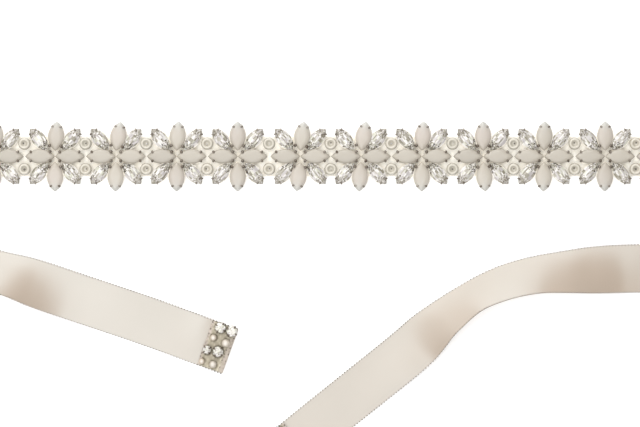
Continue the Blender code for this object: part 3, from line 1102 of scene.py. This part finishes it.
def build_tip(label, end, materials):
    """The jewelled end of one tie: its binding, round stones and pearls."""
    stones = Form()
    settings = Form()
    pearls = Form("POINT")
    turn = math.degrees(math.atan2(end.heading.y, end.heading.x))
    nodes = sorted(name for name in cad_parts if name.startswith(f"tip_{label}_"))
    chatons = [name for name in nodes if "chaton" in name]
    small_pearls = [name for name in nodes if "pearl" in name]
    rounds = []
    for node in chatons:
        x, y, base, diameter, _ = node_place(node)
        rounds.append((x, y, diameter / 2))
        matrix = stone_matrix(x, y, turn + draw.uniform(0, 40), base)
        add_cut_stone(stones, circle(diameter, CHATON_STEPS), matrix, CHATON_RINGS)
        rim = circle(diameter, CHATON_SETTING_STEPS)
        points, faces = loft([inset_ring(rim, rise.inset, rise.height) for rise in CHATON_SETTING_RISES])
        # Painted dark reflection on the round stones' cups
        settings.add(points, faces, matrix, [CHATON_CUP_PAINTED_DARK_REFLECTION] * len(faces))
        lowered = matrix @ Matrix.Translation((0, 0, -CHATON_CLAW_DROP))
        for quarter in range(4):
            angle = math.radians(45 + 90 * quarter)
            away = (math.cos(angle), math.sin(angle))
            x_claw, y_claw = (part * (diameter / 2 - CHATON_CLAW_INSET) for part in away)
            add_claw(settings, lowered, x_claw, y_claw, away, CHATON_CLAW_RADIUS, CLAW_PAINTED_DARK_REFLECTION)
    for node in small_pearls:
        x, y, base, diameter, height = node_place(node)
        rounds.append((x, y, diameter / 2))
        matrix = stone_matrix(x, y, turn, base)
        # Painted rim shade, cream or grey, under a painted highlight
        rim = mixed(CREAM_RIM_SHADE, GREY_RIM_SHADE, draw.random())
        add_button(pearls, matrix, diameter, height, TIP_PEARL_BANDS, rim, CREAM_TOP_HIGHLIGHT)
    binding, stitches = build_binding(label, end, rounds, materials)
    pieces = (
        (stones.piece(f"tip_{label}_crystals", materials["crystal"], 0), "round_crystal", chatons),
        (settings.piece(f"tip_{label}_settings", materials["silver"], 40), "silver_setting", chatons),
        (pearls.piece(f"tip_{label}_pearls", materials["cream_pearl"], 60), "pearl", small_pearls),
        (binding, "ivory_tape", [f"tip_{label}_binding"]),
        (stitches, "ivory_tape", []),
    )
    for piece, slot, replaced in pieces:
        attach(piece, "root")
        if replaced:
            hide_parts(*replaced)
    return binding, stitches


BINDING_LENGTH = 14.2
BINDING_WIDTH = 24.4
BINDING_TOP = 2.3
BINDING_BASE = 1.35
BINDING_ROWS = 28
BINDING_COLUMNS = 48
STRIP_WIDTH = 2.4
# The olive is partly the cloth's own tone and partly painted shade between the crowded stones; the darkest
# colour is painted shadow right beside each stone
BINDING_OLIVE = (0.50, 0.445, 0.335)
BINDING_CREAM = (0.80, 0.72, 0.58)
BINDING_PAINTED_SHADOW = (0.17, 0.145, 0.095)
BINDING_EDGE = 1.5
STRIP_BLUSH = (0.60, 0.52, 0.46)
STITCH_PITCH = 1.9
STITCH_SINK = 0.15
STITCH_SWING = 35
FOLD_HEIGHT = 0.35
FOLD_PLACE = 3.1
FOLD_WIDTH = 0.6
BINDING_SINK = 0.2
BINDING_ROUNDING = 0.5
RIPPLE_HEIGHT = 0.10


def build_binding(label, end, rounds, materials):
    """The cloth binding folded over the tie's end, with its woven strip and stitches, and painted shadow
    round its stones.
    """
    form = Form("POINT")
    grid = []
    tints = []
    places = []
    for row in range(BINDING_ROWS + 1):
        inset = BINDING_LENGTH * row / BINDING_ROWS
        line = []
        for column in range(BINDING_COLUMNS + 1):
            across = column / BINDING_COLUMNS * 2 - 1
            edge = max(abs(across), abs(2 * row / BINDING_ROWS - 1)) ** 10
            ripple = RIPPLE_HEIGHT * math.sin(inset * 1.7 + across * 5)
            place = end.centre - end.heading * inset + end.outward * (across * BINDING_WIDTH / 2)
            fold = FOLD_HEIGHT * math.exp(-((inset - FOLD_PLACE) / FOLD_WIDTH) ** 2)
            height = BINDING_TOP - BINDING_SINK - BINDING_ROUNDING * edge + ripple + fold
            line.append((place.x, place.y, height))
            # Painted shadow: the cloth darkens from olive towards near-black within about a millimetre of
            # each round stone
            gap = min(math.hypot(place.x - x, place.y - y) - radius for x, y, radius in rounds)
            tint = mixed(BINDING_PAINTED_SHADOW, BINDING_OLIVE, gap + draw.uniform(-0.2, 0.5))
            blotch = math.sin(2.3 * inset + 7 * across) * math.sin(19 * across - 1.1 * inset)
            tint = mixed(tint, BINDING_CREAM, 0.5 * blotch + 1.3 * fold)
            if inset < STRIP_WIDTH or inset > BINDING_LENGTH - BINDING_EDGE:
                tint = mixed(STRIP_BLUSH, BINDING_OLIVE, draw.uniform(-0.6, 1.0))
            tints.append(tint)
            places.append((inset, across * BINDING_WIDTH / 2))
        grid.append(line)
    points, faces = grid_solid(grid, BINDING_BASE)
    if end.outward.cross(end.heading).z > 0:
        faces = [tuple(reversed(face)) for face in faces]
    rim = len(points) - len(places)
    form.add(points, faces, None, tints + [BINDING_OLIVE] * rim, places + [(0.0, 0.0)] * rim)
    binding = form.piece(f"tip_{label}_binding_cloth", materials["binding"], 50)

    stitches = Form()
    facing = Matrix((end.heading, end.outward, Vector((0, 0, 1)))).transposed().to_4x4()
    for inset in (0.5, STRIP_WIDTH, BINDING_LENGTH - 0.3):
        for step in range(int(BINDING_WIDTH / STITCH_PITCH)):
            across = (step + draw.uniform(0.3, 0.7)) * STITCH_PITCH - BINDING_WIDTH / 2
            place = end.centre - end.heading * (inset + draw.uniform(-0.2, 0.2)) + end.outward * across
            place.z = BINDING_TOP - STITCH_SINK
            degrees = 90 + draw.uniform(-STITCH_SWING, STITCH_SWING)
            turn = Matrix.Rotation(math.radians(degrees), 4, "Z")
            tint = mixed(LOOP_DARK_THREAD_AND_SHADE, STRIP_BLUSH, draw.random())
            add_loop(stitches, Matrix.Translation(place) @ facing @ turn, tint)
    return binding, stitches.piece(f"tip_{label}_stitches", materials["thread"])


def build_stage():
    """White table, soft lights and the camera straight above."""
    bpy.ops.mesh.primitive_plane_add(size=FLOOR_SIZE, location=(0, 0, -FLOOR_DROP))
    floor = bpy.context.object
    floor.name = "floor"
    floor.data.materials.append(floor_material())

    world = bpy.data.worlds.new("studio")
    world.use_nodes = True
    background = world.node_tree.nodes["Background"]
    background.inputs["Color"].default_value = (1.0, 1.0, 1.0, 1.0)
    background.inputs["Strength"].default_value = DOME_STRENGTH
    bpy.context.scene.world = world

    for softbox in SOFTBOXES:
        lamp = bpy.data.lights.new(softbox.name, "AREA")
        lamp.shape = "RECTANGLE"
        lamp.size, lamp.size_y = softbox.size
        lamp.energy = softbox.power
        light = bpy.data.objects.new(softbox.name, lamp)
        light.location = softbox.place
        light.rotation_euler = [math.radians(degrees) for degrees in softbox.turn]
        bpy.context.scene.collection.objects.link(light)

    lens = bpy.data.cameras.new("camera")
    lens.sensor_width = SENSOR_WIDTH
    lens.lens = SENSOR_WIDTH * CAMERA_HEIGHT / PHOTO_WIDTH
    lens.clip_end = 20.0
    camera = bpy.data.objects.new("camera", lens)
    camera.location = (CAMERA_PLACE[0] * MM, CAMERA_PLACE[1] * MM, CAMERA_HEIGHT * MM)
    bpy.context.scene.collection.objects.link(camera)
    bpy.context.scene.camera = camera
    bpy.context.scene.view_settings.view_transform = "Standard"


def main():
    """Dress the whole sash."""
    build_stage()
    materials = {
        "satin": satin_material(),
        "tape": tape_material(),
        "thread": plain_material("selvedge_thread", Roughness=0.6),
        "binding": plain_material("binding_cloth", 2500.0, 0.35, Roughness=0.8),
        "opal": plain_material(
            "milky_opal", Roughness=0.34, Subsurface_Weight=0.3, Subsurface_Scale=0.002,
            Subsurface_Radius=(0.6, 0.6, 0.6), Coat_Weight=0.15,
        ),
        # Clear crystal whose colour is the painted reflections and shade of its facets
        "crystal": plain_material(
            "crystal_with_painted_facet_light", Metallic=0.1, Roughness=0.2, IOR=1.55, Coat_Weight=0.3, Coat_Roughness=0.03
        ),
        "cup": plain_material("pale_setting", 1500.0, 0.15, Roughness=0.35),
        # Silver darkened in its colour, with mottling, as painted dark reflection
        "silver": plain_material("silver_with_painted_dark_reflection", 1500.0, 0.4, Metallic=0.7, Roughness=0.35),
        "pearl": plain_material("pearl", Roughness=0.2, Coat_Weight=0.5, Coat_Roughness=0.08),
        "cream_pearl": plain_material("cream_pearl", Roughness=0.3, Coat_Weight=0.15, Coat_Roughness=0.06),
    }
    build_flowers(materials)
    build_pearls(materials)
    build_tape(materials)
    ties = (
        ("left", LEFT_COURSE, -1, LEFT_CREASES),
        ("right", RIGHT_COURSE, 1, RIGHT_CREASES),
    )
    for label, course, side, creases in ties:
        sections = ribbon_sections(course, side, creases)
        tie, edging, length = build_tie(label, sections, materials)
        binding, stitches = build_tip(label, sections[-1], materials)


main()
